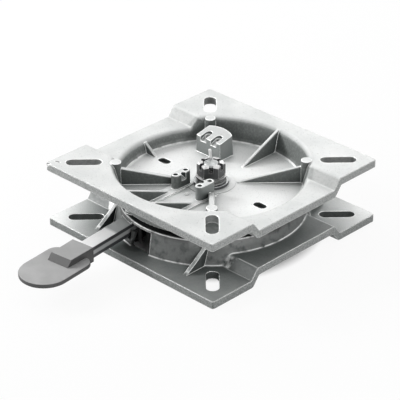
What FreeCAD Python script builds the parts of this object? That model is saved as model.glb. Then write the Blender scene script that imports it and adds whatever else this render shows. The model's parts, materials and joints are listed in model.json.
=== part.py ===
import FreeCAD, Part
import math
import os

# A manual swivel for a caravan seat: two square castings on one pivot bolt, and a lever that locks the turn.
# The origin is on the pivot axis, in the plane of the lower mounting face. +Z is up and the lever points to -Y.
# All sizes are millimetres and degrees.

Vector = FreeCAD.Vector
origin = Vector(0, 0, 0)
up = Vector(0, 0, 1)
across = Vector(1, 0, 0)

# Clearances, and what only makes cutting and joining safe
running_gap = 0.3
fit_gap = 0.05
seat_gap = 0.2
overcut = 2.0
overlap = 0.6
same_place = 0.02

# Plates of both castings
plate_margin = 28.0
plate_thickness = 10.0
plate_corner_radius = 3.5
step_drop = 13.0
channel_inset = 48.0
step_run = 10.0
step_lag = 2.6
crest_radius = 6.0
valley_radius = 2.5
edge_round = 0.7

# Fixing slots, which run along the diagonals
slot_width = 15.2
slot_length = 43.4
slot_pattern_side = 215.0

# Drums
drum_end_radius = 112.0
drum_draft = 14.0
drum_wall = 4.6
drum_end_round = 2.2
drum_foot_round = 2.5
dish_mouth_round = 9.5
underside_mouth_round = 3.0
dish_floor_round = 3.0
lower_drum_height = 40.0
lower_roof_thickness = 6.0
upper_floor_depth = 29.5
upper_floor_thickness = 6.5

# Slide ring between the castings, with its screws
slide_ring_thickness = 5.6
slide_ring_inner_radius = 50.0
slide_ring_width = 18.0
slide_screw_count = 6
slide_screw_radius = 2.5
slide_screw_head_radius = 4.6
slide_screw_head_depth = 2.6
slide_screw_length = 9.0
slide_screw_sink = 0.6
land_height = 3.1
land_margin = 1.5
skirt_width = 7.0

# Posts, ribs and gussets of the upper dish
post_bearing = 45.0
post_radius = 6.5
post_sink = 3.2
rib_thickness = 4.0
block_rib_thickness = 6.4
rib_crest_round = 1.2
rib_top_drop = 8.0
rib_toe_radius = 31.0
rib_toe_height = 0.8
block_rib_toe_height = 7.0
gusset_thickness = 4.5
gusset_top_drop = 1.5
rear_gusset_toe = 53.5
front_gusset_toe = 51.0
side_gusset_reach = 17.5
side_gusset_drop = 15.5
floor_slot_width = 10.6
floor_slot_length = 17.8
floor_slot_centre = 80.5

# Two small tapped blocks in front of the nut, on low pads
boss_radius = 5.5
boss_height = 19.3
boss_pair_spacing = 16.6
boss_row_offset = 20.3
boss_pair_centre = 31.4
boss_hole_radius = 3.0
boss_hole_depth = 13.0
boss_notch_radius = 3.4
boss_notch_depth = 7.0
boss_notch_slope = 28.0
boss_pad_height = 1.5
boss_pad_half_width = 8.2
boss_pad_start = 17.0

# Large block behind the nut, with a sloping top and two pockets
block_width = 39.5
block_left_inset = 41.0
block_front_inset = 64.7
block_depth = 21.5
block_front_height = 22.3
block_rear_height = 26.8
block_bulge = 5.0
block_foot_spread = 1.2
pocket_width = 9.4
pocket_spacing = 17.4
pocket_reach = 14.0
pocket_front_drop = 6.0
pocket_rear_drop = 1.2
pocket_hole_radius = 3.7
pocket_hole_depth = 13.0

# Hub and spigot
hub_pad_radius = 29.5
hub_pad_height = 0.5
spigot_radius = 22.0
hub_land_radius = 34.0
hub_boss_radius = 32.0
hub_boss_drop = 3.0
bolt_bore_gap = 0.3

# Pivot bolt, nut, pin and washers
bolt_radius = 10.0
bolt_end_chamfer = 1.5
bolt_head_flats = 30.0
bolt_head_height = 12.5
bolt_end_sink = 0.8
nut_height = 16.0
nut_flats = 30.0
nut_slot_width = 5.0
nut_slot_depth = 8.0
nut_chamfer = 1.3
nut_top_chamfer = 3.6
nut_turn = -45.0
nut_slot_count = 6
head_washer_radius = 18.5
head_washer_thickness = 3.0
support_washer_radius = 21.3
support_washer_thickness = 4.0
disc_spring_radius = 18.6
disc_spring_thickness = 1.2
disc_spring_cone = 0.7
disc_spring_pairs = 2
split_pin_radius = 1.9
split_pin_hole_radius = 2.1
split_pin_rise = 15.7
split_pin_lean = 1.2
split_pin_tail = 7.5
split_pin_eye_radius = 1.4
split_pin_eye_wire = 0.9
split_pin_eye_reach = 12.6

# Bush and thrust washer of the lower casting
bush_wall = 3.0
bush_flange_width = 5.0
bush_flange_thickness = 2.0
thrust_washer_thickness = 1.7

# Lock disc
lock_disc_radius = 36.0
lock_disc_thickness = 8.0
notch_count = 12
notch_depth = 7.0
notch_mouth_width = 10.0
notch_root_width = 7.0
dowel_radius = 2.5
dowel_circle_radius = 16.0
dowel_length = 16.0

# Release lever: a straight bar beside the pivot, turned a little from the -Y direction
lever_yaw = 6.06
lever_offset = 46.9
lever_swing = 7.0
bar_width = 20.0
bar_height = 15.0
bar_under_roof = 1.2
bar_edge_round = 0.8
bar_outer_end = 207.0
bar_inner_end = 12.0
lever_pivot_inset = 24.0
pivot_boss_radius = 11.0
pivot_boss_height = 3.2
pawl_thickness = 7.6
pawl_length = 26.0
pawl_centre = 3.0
pawl_inset = 16.0
pawl_gap = 0.35
rivet_radius = 2.5
rivet_spacing = 16.0
rivet_head_radius = 4.2
rivet_head_height = 0.8

# Lever pivot
pivot_shoulder_radius = 6.0
pivot_thread_radius = 5.0
pivot_thread_length = 8.6
pivot_head_flats = 17.0
pivot_head_height = 6.4
lever_bush_wall = 2.0
lever_washer_radius = 10.6
lever_washer_thickness = 1.0
keeper_washer_thickness = 1.6
keeper_washer_radius = 13.5

# Return spring
spring_wire_radius = 1.0
spring_coil_radius = 8.2
spring_pitch = 2.3
spring_turns = 2.25
spring_leg_reach = 26.0
spring_hook_height = 7.5
spring_fixed_leg = 17.0
spring_points_per_turn = 12
anchor_pin_radius = 3.0
anchor_pin_length = 28.5
stop_pin_radius = 4.0
stop_pin_position = 12.0
stop_pin_length = 17.0
pin_seat_depth = 4.0

# Openings of the lower drum for the lever
lever_slot_clearance = 1.0
lever_slot_swing_room = 4.4
lever_slot_floor = 1.3
window_left_foot = 18.7
window_left_head = 14.4
window_right_foot = 13.8
window_right_head = 11.8
window_head_drop = 3.5
pillar_height = 18.0
window_reach = 13.0
window_corner_round = 1.2

# Gussets outside the lower drum
foot_gusset_offset = 75.2
foot_gusset_toe = 120.5
foot_gusset_thickness = 5.0
foot_gusset_drop = 4.6
foot_gusset_sag = 0.6

# Ribs under the roof of the lower drum
under_rib_thickness = 4.0
under_rib_depth = 9.0
under_rib_spacing = 45.0
under_rib_first = -45.0
under_rib_count = 5

# Handle
paddle_width = 62.0
paddle_thickness = 5.2
paddle_start = 188.5
paddle_end = 270.6
paddle_front_radius = 30.5
paddle_shoulder_radius = 14.0
paddle_offset = 4.3
sleeve_offset = 3.0
sleeve_width = 33.0
sleeve_front_width = 30.5
sleeve_wall = 2.2
sleeve_start = 177.0
sleeve_end = 213.4
sleeve_slope_run = 7.8
sleeve_edge_round = 1.5
paddle_step = 7.5
paddle_edge_round = 1.3

# Places that follow from the sizes above
draft_slope = math.tan(math.radians(drum_draft))
lower_roof_under = lower_drum_height - lower_roof_thickness
upper_drum_bottom = lower_drum_height + slide_ring_thickness + running_gap
upper_floor_under = upper_drum_bottom + land_height
upper_floor_top = upper_floor_under + upper_floor_thickness
overall_height = upper_floor_top + upper_floor_depth
upper_drum_depth = overall_height - upper_drum_bottom
hub_face_top = upper_floor_top + hub_pad_height
spring_pair_height = 2 * (disc_spring_thickness + disc_spring_cone)
spring_stack = disc_spring_pairs * spring_pair_height
nut_bottom = hub_face_top + support_washer_thickness + spring_stack
nut_top = nut_bottom + nut_height
bolt_end = nut_top - bolt_end_sink
split_pin_height = nut_top - nut_slot_depth + split_pin_radius + fit_gap
hub_boss_bottom = lower_roof_under - hub_boss_drop
thrust_washer_bottom = hub_boss_bottom - thrust_washer_thickness
lock_disc_top = thrust_washer_bottom - running_gap
lock_disc_bottom = lock_disc_top - lock_disc_thickness
bolt_seat = lock_disc_bottom - head_washer_thickness
hub_bush_radius = spigot_radius + fit_gap
hub_bore_radius = hub_bush_radius + bush_wall
bush_flange_top = lower_drum_height + bush_flange_thickness
bolt_bore_radius = bolt_radius + bolt_bore_gap
notch_root_radius = lock_disc_radius - notch_depth
bar_top = lower_roof_under - bar_under_roof
bar_bottom = bar_top - bar_height
bar_half = bar_width / 2
lever_bush_bore = pivot_shoulder_radius + fit_gap
lever_bush_radius = lever_bush_bore + lever_bush_wall
keeper_top = bar_bottom - seat_gap - spring_pitch * (spring_turns + 1)
pivot_head_top = keeper_top - keeper_washer_thickness
pawl_middle = lock_disc_bottom + lock_disc_thickness / 2
slot_centre = slot_pattern_side / 2
plate_side = 2 * (drum_end_radius + plate_margin)
channel_half_width = drum_end_radius - channel_inset
block_left = drum_end_radius - block_left_inset
block_front = drum_end_radius - block_front_inset
side_gusset_toe = drum_end_radius - side_gusset_reach
lever_pivot_distance = drum_end_radius - lever_pivot_inset
foot_gusset_top = lower_drum_height - foot_gusset_drop


def outer_radius(depth, drum_depth):
    """radius of the drum's outside at a depth below its plate's outer face"""
    return drum_end_radius + (drum_depth - depth) * draft_slope


def inner_radius(depth, drum_depth):
    return outer_radius(depth, drum_depth) - drum_wall


def soft_outline(corners):
    """closed wire through (point, radius) pairs, with each corner rounded by its radius"""
    arcs = []
    for index, (point, radius) in enumerate(corners):
        if radius == 0:
            arcs.append((point, point, None))
            continue
        toward_last = corners[index - 1][0] - point
        toward_next = corners[(index + 1) % len(corners)][0] - point
        toward_last.normalize()
        toward_next.normalize()
        half_angle = toward_last.getAngle(toward_next) / 2
        reach = radius / math.tan(half_angle)
        bisector = toward_last + toward_next
        bisector.normalize()
        start = point + toward_last * reach
        end = point + toward_next * reach
        middle = point + bisector * (radius / math.sin(half_angle) - radius)
        arcs.append((start, end, Part.Arc(start, middle, end).toShape()))
    edges = []
    for index, (start, end, arc) in enumerate(arcs):
        last_end = arcs[index - 1][1]
        if last_end.distanceToPoint(start) > same_place:
            edges.append(Part.makeLine(last_end, start))
        if arc:
            edges.append(arc)
    return Part.Wire(edges)


def prism(corners, direction):
    """solid from (point, radius) pairs, swept along a direction"""
    return Part.Face(soft_outline(corners)).extrude(direction)


def turned(corners):
    """solid of revolution about Z from (radius, height, rounding) triples"""
    wire = soft_outline([(Vector(r, 0, z), rounding) for r, z, rounding in corners])
    return Part.Face(wire).revolve(origin, up, 360)


def box(low, high):
    size = high - low
    return Part.makeBox(size.x, size.y, size.z, low)


def rod(radius, bottom, height, x=0.0, y=0.0):
    return Part.makeCylinder(radius, height, Vector(x, y, bottom))


def ring(inner, outer, bottom, height):
    return rod(outer, bottom, height).cut(rod(inner, bottom - overcut, height + 2 * overcut))


def obround(length, width, bottom, height):
    """bar with round ends and its length along X"""
    reach = (length - width) / 2
    radius = width / 2
    solid = box(Vector(-reach, -radius, bottom), Vector(reach, radius, bottom + height))
    for side in (-1, 1):
        solid = solid.fuse(rod(radius, bottom, height, side * reach))
    return solid.removeSplitter()


def hexagon(flats, bottom, height):
    """hexagonal prism with a flat facing +X"""
    corner = flats / math.sqrt(3)
    points = []
    for step in range(6):
        angle = math.radians(60 * step + 30)
        points.append((Vector(corner * math.cos(angle), corner * math.sin(angle), bottom), 0))
    return prism(points, Vector(0, 0, height))


def chamfered_hexagon(flats, bottom, height, low_chamfer, high_chamfer):
    """hexagon with its corners turned off at both ends"""
    corner = flats / math.sqrt(3)
    slope = math.tan(math.radians(30))
    lathe = turned([
        (0, bottom, 0),
        (corner - low_chamfer, bottom, 0),
        (corner, bottom + low_chamfer * slope, 0),
        (corner, bottom + height - high_chamfer * slope, 0),
        (corner - high_chamfer, bottom + height, 0),
        (0, bottom + height, 0),
    ])
    return hexagon(flats, bottom, height).common(lathe)


def about_axis(shape, degrees):
    copy = shape.copy()
    copy.rotate(origin, up, degrees)
    return copy


def moved(shape, x, y, z=0.0):
    copy = shape.copy()
    copy.translate(Vector(x, y, z))
    return copy


def to_lever(shape):
    """turns a shape made beside the Y axis into the lever's own direction"""
    return about_axis(shape, lever_yaw)


def on_pivot(shape):
    """moves a shape made on the Z axis to the lever's pivot"""
    return to_lever(moved(shape, -lever_offset, -lever_pivot_distance))


def rounded(shape, radius, test):
    """shape with every edge that passes the test rounded"""
    return shape.makeFillet(radius, [edge for edge in shape.Edges if test(edge)])


def at_height(edge, height):
    return all(abs(vertex.Z - height) < same_place for vertex in edge.Vertexes)


def upright(edge):
    first, last = edge.Vertexes[0].Point, edge.Vertexes[-1].Point
    return math.hypot(first.x - last.x, first.y - last.y) < same_place < abs(first.z - last.z)


def radius_of(vertex):
    return math.hypot(vertex.X, vertex.Y)


def save(name, shape):
    """writes one node, and stops if it isn't made of sound solids"""
    if not shape.isValid() or not shape.Solids:
        raise RuntimeError(name + " is not a sound solid")
    shape.exportStep("parts/" + name + ".step")
    print(name, len(shape.Solids), round(shape.Volume))


# The form that both castings share, made with its outer face down at depth 0
def stepped_line(depth, lag, outward_round, inward_round):
    """one face of the stepped plate from -Y to +Y as (point, radius) pairs"""
    half = plate_side / 2
    low = channel_half_width + lag
    high = low + step_run
    floor = depth + step_drop
    return [
        (Vector(-half, -half, depth), 0),
        (Vector(-half, -high, depth), outward_round),
        (Vector(-half, -low, floor), inward_round),
        (Vector(-half, low, floor), inward_round),
        (Vector(-half, high, depth), outward_round),
        (Vector(-half, half, depth), 0),
    ]


def stepped_plate():
    """square plate with two full strips and a lowered channel between them"""
    half = plate_side / 2
    outer = stepped_line(0, 0, crest_radius, valley_radius)
    inner = stepped_line(plate_thickness, step_lag, valley_radius, crest_radius)
    plate = prism(outer + inner[::-1], across * plate_side)
    column = box(Vector(-half, -half, -overcut), Vector(half, half, plate_thickness + step_drop + overcut))
    column = rounded(column, plate_corner_radius, upright)
    return plate.common(column)


def drum_block(drum_depth):
    """solid drum, trimmed to the stepped outer face of its plate"""
    half = plate_side / 2
    drum = turned([
        (0, 0, 0),
        (outer_radius(0, drum_depth), 0, 0),
        (drum_end_radius, drum_depth, drum_end_round),
        (0, drum_depth, 0),
    ])
    far = [(Vector(-half, half, drum_depth), 0), (Vector(-half, -half, drum_depth), 0)]
    inside = prism(stepped_line(0, 0, crest_radius, valley_radius) + far, across * plate_side)
    return drum.common(inside)


def on_cone(edge, low, high, shallow, deep):
    """true for an edge whose ends lie between two radii and two depths"""
    for vertex in edge.Vertexes:
        if not low - same_place < radius_of(vertex) < high + same_place:
            return False
        if not shallow - same_place < vertex.Z < deep + same_place:
            return False
    return len(edge.Vertexes) == 2


def on_rim(edge):
    """true for an edge that runs along the plate's outline"""
    inside = plate_side / 2 - plate_corner_radius - same_place
    for vertex in edge.Vertexes:
        if max(abs(vertex.X), abs(vertex.Y)) < inside:
            return False
    middle = edge.CenterOfMass
    return max(abs(middle.x), abs(middle.y)) > inside and not upright(edge)


def common_casting(drum_depth, floor_depth, mouth_round):
    body = stepped_plate().fuse(drum_block(drum_depth)).removeSplitter()
    step_floor = plate_thickness + step_drop
    low = outer_radius(step_floor, drum_depth)
    high = outer_radius(plate_thickness, drum_depth)
    body = rounded(body, drum_foot_round, lambda edge: on_cone(edge, low, high, plate_thickness, step_floor))
    dish = turned([
        (0, -overcut, 0),
        (inner_radius(-overcut, drum_depth), -overcut, 0),
        (inner_radius(floor_depth, drum_depth), floor_depth, dish_floor_round),
        (0, floor_depth, 0),
    ])
    body = body.cut(dish)
    low = inner_radius(step_drop, drum_depth)
    high = inner_radius(0, drum_depth)
    body = rounded(body, mouth_round, lambda edge: on_cone(edge, low, high, 0, step_drop))
    body = rounded(body, edge_round, on_rim)
    slot = obround(slot_length, slot_width, -overcut, plate_thickness + 2 * overcut)
    for side_x in (-1, 1):
        for side_y in (-1, 1):
            placed = moved(about_axis(slot, 45 * side_x * side_y), side_x * slot_centre, side_y * slot_centre)
            body = body.cut(placed)
    return body


# Upper casting
def inside_dish(top):
    """the space of the upper dish with half the wall, which holds every rib and post to the casting"""
    wall = drum_wall - overlap
    return turned([
        (0, upper_floor_top - overlap, 0),
        (inner_radius(upper_floor_depth, upper_drum_depth) + wall, upper_floor_top - overlap, 0),
        (inner_radius(0, upper_drum_depth) + wall, top, 0),
        (0, top, 0),
    ])


def crested(shape, thickness_axis):
    """rib with its sloping top edges rounded"""
    def test(edge):
        first, last = edge.Vertexes[0].Point, edge.Vertexes[-1].Point
        along = last - first
        return abs(along.z) > overlap and not upright(edge) and abs(along.dot(thickness_axis)) < same_place
    return rounded(shape, rib_crest_round, test)


def wall_gusset(toe, top_drop):
    """triangular rib in the X-Z plane from a toe on the dish floor to the wall on the +X side"""
    end = outer_radius(0, upper_drum_depth)
    top = overall_height - top_drop
    half = gusset_thickness / 2
    outline = [
        (Vector(toe, -half, upper_floor_top - overlap), 0),
        (Vector(toe, -half, upper_floor_top + rib_toe_height), 0),
        (Vector(inner_radius(top_drop, upper_drum_depth), -half, top), 0),
        (Vector(end, -half, top), 0),
        (Vector(end, -half, upper_floor_top - overlap), 0),
    ]
    return crested(prism(outline, Vector(0, gusset_thickness, 0)), Vector(0, 1, 0))


def post_rib(toe, toe_height, thickness):
    """rib in the X-Z plane from a toe on the dish floor to a post"""
    post = inner_radius(0, upper_drum_depth) - post_sink
    half = thickness / 2
    top = overall_height - rib_top_drop
    outline = [
        (Vector(toe, -half, upper_floor_top - overlap), 0),
        (Vector(toe, -half, upper_floor_top + toe_height), 0),
        (Vector(post - post_radius, -half, top), 0),
        (Vector(post, -half, top), 0),
        (Vector(post, -half, upper_floor_top - overlap), 0),
    ]
    return crested(prism(outline, Vector(0, thickness, 0)), Vector(0, 1, 0))


def small_block(side):
    """tapped block on its pad, on one side of the lever's direction"""
    x = side * boss_row_offset
    length = boss_pair_spacing + 2 * boss_radius
    top = upper_floor_top + boss_height
    block = obround(length, 2 * boss_radius, upper_floor_top - overlap, boss_height + overlap)
    block = rounded(about_axis(block, 90), edge_round, lambda edge: at_height(edge, top))
    for end in (-1, 1):
        y = end * boss_pair_spacing / 2
        block = block.cut(rod(boss_hole_radius, top - boss_hole_depth, boss_hole_depth + overcut, 0, y))
    notch = rod(boss_notch_radius, 0, boss_notch_depth + 2 * overcut)
    notch = notch.fuse(box(
        Vector(0, -boss_notch_radius, 0),
        Vector(2 * boss_radius, boss_notch_radius, boss_notch_depth + 2 * overcut),
    ))
    notch.rotate(origin, Vector(0, 1, 0), boss_notch_slope)
    notch.translate(Vector(boss_notch_radius / 2, 0, top - boss_notch_depth))
    if side > 0:
        notch = about_axis(notch, 180)
    return moved(block.cut(notch), x, -boss_pair_centre)


def block_pad(side):
    """low pad under a small block and its gusset, out to the wall"""
    x = side * boss_row_offset
    return box(
        Vector(x - boss_pad_half_width, -outer_radius(0, upper_drum_depth), upper_floor_top - overlap),
        Vector(x + boss_pad_half_width, -boss_pad_start, upper_floor_top + boss_pad_height),
    )


def large_block():
    """block behind the nut: its back is an arc, its top slopes up to the back, and two pockets open in front"""
    right = block_width - block_left
    back = block_front + block_depth
    bottom = upper_floor_top - overlap
    bulge = Vector((right - block_left) / 2, back + block_bulge, bottom)
    corner_left = Vector(-block_left, back, bottom)
    corner_right = Vector(right, back, bottom)
    front_left = Vector(-block_left, block_front, bottom)
    front_right = Vector(right, block_front, bottom)
    wire = Part.Wire([
        Part.makeLine(front_left, front_right),
        Part.makeLine(front_right, corner_right),
        Part.Arc(corner_right, bulge, corner_left).toShape(),
        Part.makeLine(corner_left, front_left),
    ])
    spread = wire.makeOffset2D(block_foot_spread)
    top_wire = wire.copy()
    top_wire.translate(Vector(0, 0, block_rear_height + 2 * overcut))
    block = Part.makeLoft([spread, top_wire], True, True)
    rise = (block_rear_height - block_front_height) / block_depth
    high = upper_floor_top + block_rear_height + 2 * overcut + overcut
    front_top = upper_floor_top + block_front_height - overcut * rise
    far_top = upper_floor_top + block_rear_height + (block_bulge + overcut) * rise
    lid = prism([
        (Vector(-block_left - overcut, block_front - overcut, front_top), 0),
        (Vector(-block_left - overcut, back + block_bulge + overcut, far_top), 0),
        (Vector(-block_left - overcut, back + block_bulge + overcut, high + overcut), 0),
        (Vector(-block_left - overcut, block_front - overcut, high + overcut), 0),
    ], across * (block_width + 2 * overcut))
    block = block.cut(lid)
    half = pocket_width / 2
    hole_y = block_front + pocket_reach - half
    front_top = upper_floor_top + block_front_height
    shelf = front_top - pocket_rear_drop
    for side in (-1, 1):
        x = (right - block_left) / 2 + side * pocket_spacing / 2
        ramp = prism([
            (Vector(x - half, block_front, front_top - pocket_front_drop), 0),
            (Vector(x - half, hole_y, shelf), 0),
            (Vector(x - half, hole_y, high), 0),
            (Vector(x - half, block_front - overcut, high), 0),
            (Vector(x - half, block_front - overcut, front_top - pocket_front_drop), 0),
        ], across * pocket_width)
        seat = rod(half, shelf, high - shelf, x, hole_y)
        hole = rod(pocket_hole_radius, shelf - pocket_hole_depth, pocket_hole_depth + overcut, x, hole_y)
        block = block.cut(ramp.fuse(seat)).cut(hole)
    return block


def upper_casting():
    body = common_casting(upper_drum_depth, upper_floor_depth, dish_mouth_round)
    body.rotate(origin, across, 180)
    body.translate(Vector(0, 0, overall_height))
    dish = inside_dish(overall_height)
    post = rod(post_radius, upper_floor_top - overlap, upper_floor_depth + overlap,
               inner_radius(0, upper_drum_depth) - post_sink)
    block_corner = math.hypot(boss_row_offset, boss_pair_centre)
    rear_rib_start = math.hypot(block_left, block_front + block_depth) - overcut
    details = [about_axis(post, post_bearing + 90 * quarter) for quarter in range(4)]
    rear_rib = post_rib(rear_rib_start, rear_rib_height(rear_rib_start), rib_thickness)
    front_rib = post_rib(block_corner, block_rib_toe_height, block_rib_thickness)
    details.append(about_axis(post_rib(rib_toe_radius, rib_toe_height, rib_thickness), post_bearing))
    details.append(about_axis(rear_rib, post_bearing + 90))
    details.append(about_axis(front_rib, post_bearing + 180))
    details.append(about_axis(front_rib, post_bearing + 270))
    details.append(about_axis(wall_gusset(rear_gusset_toe, gusset_top_drop), 90))
    details.append(about_axis(wall_gusset(side_gusset_toe, side_gusset_drop), 180))
    for side in (-1, 1):
        details.append(moved(about_axis(wall_gusset(front_gusset_toe, gusset_top_drop), -90),
                             side * boss_row_offset, 0))
        details.append(block_pad(side))
        details.append(small_block(side))
    details.append(large_block())
    details.append(rod(hub_pad_radius, upper_floor_top - overlap, hub_pad_height + overlap))
    details = [detail.common(dish) for detail in details]
    body = body.fuse(details)
    relief = ring(hub_land_radius, slide_ring_inner_radius - land_margin, upper_drum_bottom - overcut,
                  land_height + overcut)
    outside = ring(slide_ring_inner_radius + slide_ring_width + land_margin, drum_end_radius - skirt_width,
                   upper_drum_bottom - overcut, land_height + overcut)
    body = body.cut(relief).cut(outside)
    hub = rod(hub_land_radius, bush_flange_top + running_gap, upper_floor_under - bush_flange_top)
    spigot = rod(spigot_radius, lock_disc_top, upper_floor_under - lock_disc_top)
    body = body.fuse([hub, spigot]).removeSplitter()
    body = body.cut(rod(bolt_bore_radius, lock_disc_top - overcut, overall_height))
    for side in (-1, 1):
        body = body.cut(rod(dowel_radius, lock_disc_bottom, dowel_length, side * dowel_circle_radius))
        slot = obround(floor_slot_length, floor_slot_width, upper_drum_bottom - overcut, overall_height)
        body = body.cut(moved(slot, side * floor_slot_centre, 0).common(dish_slot_zone()))
    return body


def dish_slot_zone():
    """what a slot in the dish floor may cut: the floor, but not the plate above it"""
    return rod(drum_end_radius, upper_drum_bottom - overcut, upper_floor_depth)


def rear_rib_height(start):
    """height of the rib behind the large block where it leaves the block"""
    post = inner_radius(0, upper_drum_depth) - post_sink - post_radius
    full = upper_floor_depth - rib_top_drop
    return full * (start - rib_toe_radius) / (post - rib_toe_radius)


# Lower casting
def lever_passage():
    """what the lever's slot and the window take out of the drum wall"""
    reach = plate_side / 2
    inside = math.sqrt(drum_end_radius ** 2 - lever_offset ** 2) - window_reach
    slot = to_lever(box(
        Vector(-lever_offset - bar_half - lever_slot_clearance, -reach, bar_bottom - lever_slot_floor),
        Vector(-lever_offset + bar_half + lever_slot_swing_room, -inside, lower_roof_under),
    ))
    foot = plate_thickness
    sill = foot + pillar_height
    head = lower_drum_height - window_head_drop
    window = prism([
        (Vector(-window_left_foot, -reach, foot), window_corner_round),
        (Vector(window_right_foot, -reach, foot), window_corner_round),
        (Vector(window_right_head, -reach, head), window_corner_round),
        (Vector(-lever_offset / 2, -reach, head), 0),
        (Vector(-lever_offset / 2, -reach, sill), 0),
        (Vector(-window_left_head, -reach, sill), 0),
    ], Vector(0, reach - drum_end_radius + window_reach, 0))
    return slot.fuse(window)


def drum_chord(depth, sink):
    """how far from the X-Z plane the drum's outside is at the foot gussets"""
    radius = outer_radius(depth, lower_drum_height) - sink
    return math.sqrt(radius ** 2 - foot_gusset_offset ** 2)


def foot_gusset():
    """curved rib in the Y-Z plane from the lower plate up to the drum on the -Y side"""
    x = -foot_gusset_thickness / 2
    toe = Vector(x, -foot_gusset_toe, plate_thickness)
    peak = Vector(x, -drum_chord(foot_gusset_top, 0), foot_gusset_top)
    back_top = Vector(x, -drum_chord(foot_gusset_top, drum_wall / 2), foot_gusset_top)
    back_foot = Vector(x, -drum_chord(plate_thickness, drum_wall / 2), plate_thickness - overlap)
    front_foot = Vector(x, -foot_gusset_toe, plate_thickness - overlap)
    sag = (toe + peak) * 0.5 + Vector(0, foot_gusset_sag, -foot_gusset_sag)
    wire = Part.Wire([
        Part.Arc(toe, sag, peak).toShape(),
        Part.makeLine(peak, back_top),
        Part.makeLine(back_top, back_foot),
        Part.makeLine(back_foot, front_foot),
        Part.makeLine(front_foot, toe),
    ])
    return Part.Face(wire).extrude(across * foot_gusset_thickness)


def lower_casting():
    body = common_casting(lower_drum_height, lower_roof_under, underside_mouth_round)
    details = [rod(hub_boss_radius, hub_boss_bottom, hub_boss_drop + overlap)]
    details.append(on_pivot(rod(pivot_boss_radius, lower_drum_height - overlap, pivot_boss_height + overlap)))
    for side in (-1, 1):
        for turn in (0, 180):
            details.append(about_axis(moved(foot_gusset(), side * foot_gusset_offset, 0), turn))
    for index in range(under_rib_count):
        rib = box(
            Vector(lock_disc_radius + overcut, -under_rib_thickness / 2, lower_roof_under - under_rib_depth),
            Vector(drum_end_radius - overcut, under_rib_thickness / 2, lower_roof_under + overlap),
        )
        details.append(about_axis(rib, under_rib_first + index * under_rib_spacing))
    body = body.fuse(details).removeSplitter()
    body = body.cut(lever_passage())
    body = body.cut(rod(hub_bore_radius, hub_boss_bottom - overcut, lower_drum_height))
    thread = rod(pivot_thread_radius + fit_gap, lower_roof_under - overcut, pivot_thread_length + overcut)
    body = body.cut(on_pivot(thread))
    body = body.cut([lever_stop_pin(), spring_anchor_pin()])
    return body.cut(slide_ring_screws())


# Parts between the castings
def slide_screw(head_clearance):
    """countersunk screw on the Z axis, with room over its head when it is used as a cutter"""
    top = lower_drum_height + slide_ring_thickness - slide_screw_sink
    return turned([
        (0, top - slide_screw_length, 0),
        (slide_screw_radius, top - slide_screw_length, 0),
        (slide_screw_radius, top - slide_screw_head_depth, 0),
        (slide_screw_head_radius, top, 0),
        (slide_screw_head_radius, top + head_clearance, 0),
        (0, top + head_clearance, 0),
    ])


def around_ring(shape):
    """copies of a shape for every screw of the slide ring, as one group"""
    radius = slide_ring_inner_radius + slide_ring_width / 2
    spacing = 360 / slide_screw_count
    placed = moved(shape, radius, 0)
    return Part.makeCompound([about_axis(placed, spacing * (index + 0.5)) for index in range(slide_screw_count)])


def slide_ring_screws():
    return around_ring(slide_screw(fit_gap))


def slide_ring():
    outer = slide_ring_inner_radius + slide_ring_width
    top = lower_drum_height + slide_ring_thickness
    solid = turned([
        (slide_ring_inner_radius, lower_drum_height, 0),
        (outer, lower_drum_height, 0),
        (outer, top, edge_round),
        (slide_ring_inner_radius, top, edge_round),
    ])
    return solid.cut(around_ring(slide_screw(overcut)).Solids)


def hub_bush():
    flange = hub_bore_radius + bush_flange_width
    return turned([
        (hub_bush_radius, hub_boss_bottom, 0),
        (hub_bore_radius, hub_boss_bottom, 0),
        (hub_bore_radius, lower_drum_height, 0),
        (flange, lower_drum_height, 0),
        (flange, bush_flange_top, edge_round),
        (hub_bush_radius, bush_flange_top, 0),
    ])


def thrust_washer():
    return ring(hub_bush_radius + seat_gap, hub_boss_radius, thrust_washer_bottom, thrust_washer_thickness)


# Pivot stack, which turns with the upper casting
def lock_disc():
    disc = ring(bolt_bore_radius, lock_disc_radius, lock_disc_bottom, lock_disc_thickness)
    mouth = lock_disc_radius + overcut
    flare = (notch_mouth_width - notch_root_width) / notch_depth
    half_mouth = (notch_root_width + (mouth - notch_root_radius) * flare) / 2
    half_root = notch_root_width / 2
    bottom = lock_disc_bottom - overcut
    notch = prism([
        (Vector(notch_root_radius, -half_root, bottom), edge_round),
        (Vector(mouth, -half_mouth, bottom), 0),
        (Vector(mouth, half_mouth, bottom), 0),
        (Vector(notch_root_radius, half_root, bottom), edge_round),
    ], up * (lock_disc_thickness + 2 * overcut))
    spacing = 360 / notch_count
    notches = [about_axis(notch, lever_yaw + 180 + spacing * index) for index in range(notch_count)]
    return disc.cut(notches).cut(drive_dowels())


def drive_dowels():
    return Part.makeCompound([
        rod(dowel_radius, lock_disc_bottom, dowel_length, side * dowel_circle_radius) for side in (-1, 1)
    ])


def pivot_bolt():
    head = chamfered_hexagon(bolt_head_flats, bolt_seat - bolt_head_height, bolt_head_height, nut_chamfer, nut_chamfer)
    shank = turned([
        (0, bolt_seat - overlap, 0),
        (bolt_radius, bolt_seat - overlap, 0),
        (bolt_radius, bolt_end - bolt_end_chamfer, 0),
        (bolt_radius - bolt_end_chamfer, bolt_end, 0),
        (0, bolt_end, 0),
    ])
    bolt = about_axis(head, nut_turn).fuse(shank).removeSplitter()
    return bolt.cut(pin_hole())


def pin_hole():
    """hole for the split pin along X, turned into the direction of the nut's slots"""
    hole = Part.makeCylinder(split_pin_hole_radius, 2 * nut_flats,
                             Vector(-nut_flats, 0, split_pin_height), across)
    return about_axis(hole, nut_turn)


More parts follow.
